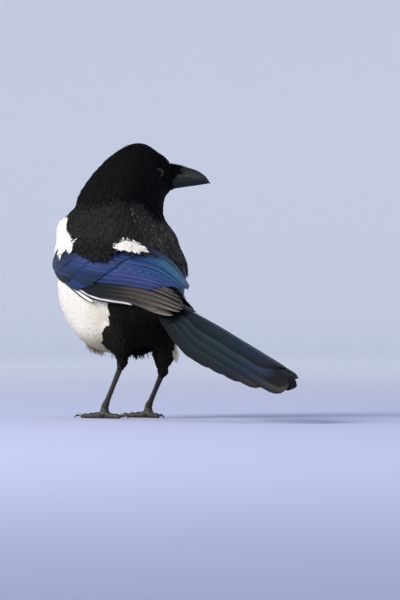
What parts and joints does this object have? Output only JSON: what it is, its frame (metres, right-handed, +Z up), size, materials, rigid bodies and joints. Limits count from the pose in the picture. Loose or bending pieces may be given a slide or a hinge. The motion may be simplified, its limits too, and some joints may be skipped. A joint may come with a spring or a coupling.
{
  "type": "eurasian magpie",
  "caption": "Life-size standing magpie with folded wings and a long graduated tail, its head turned back over the right shoulder; a still display model.",
  "frame": {"origin": "on the floor, under the middle of the whole bird's box", "axes": "+Z up; the body faces -Y with its tail towards +Y, and its left side is +X"},
  "size_m": [0.1312, 0.315, 0.2334],
  "materials": {
    "black_plumage": "soft black feathers with a faint blue-green gloss",
    "white_plumage": "soft white feathers",
    "wing_feathers": "glossy blue flight feathers over brown-black primaries",
    "tail_feathers": "glossy blue-green black vanes",
    "bill_horn": "smooth dark horn",
    "claw_horn": "polished black horn",
    "leg_skin": "dark scaly skin",
    "eye": "wet dark brown"
  },
  "bodies": {
    "root": {"head": "black_plumage", "neck": "black_plumage", "torso": "white_plumage", "bill_upper": "bill_horn", "bill_lower": "bill_horn", "eye_left": "eye", "eye_right": "eye", "tail": "tail_feathers", "wing_left": "wing_feathers", "wing_right": "wing_feathers", "thigh_left": "black_plumage", "thigh_right": "black_plumage", "tarsus_left": "leg_skin", "tarsus_right": "leg_skin", "toe_left_1": "leg_skin", "toe_left_2": "leg_skin", "toe_left_3": "leg_skin", "toe_left_4": "leg_skin", "toe_right_1": "leg_skin", "toe_right_2": "leg_skin", "toe_right_3": "leg_skin", "toe_right_4": "leg_skin", "claw_left_1": "claw_horn", "claw_left_2": "claw_horn", "claw_left_3": "claw_horn", "claw_left_4": "claw_horn", "claw_right_1": "claw_horn", "claw_right_2": "claw_horn", "claw_right_3": "claw_horn", "claw_right_4": "claw_horn"}
  },
  "joints": []
}
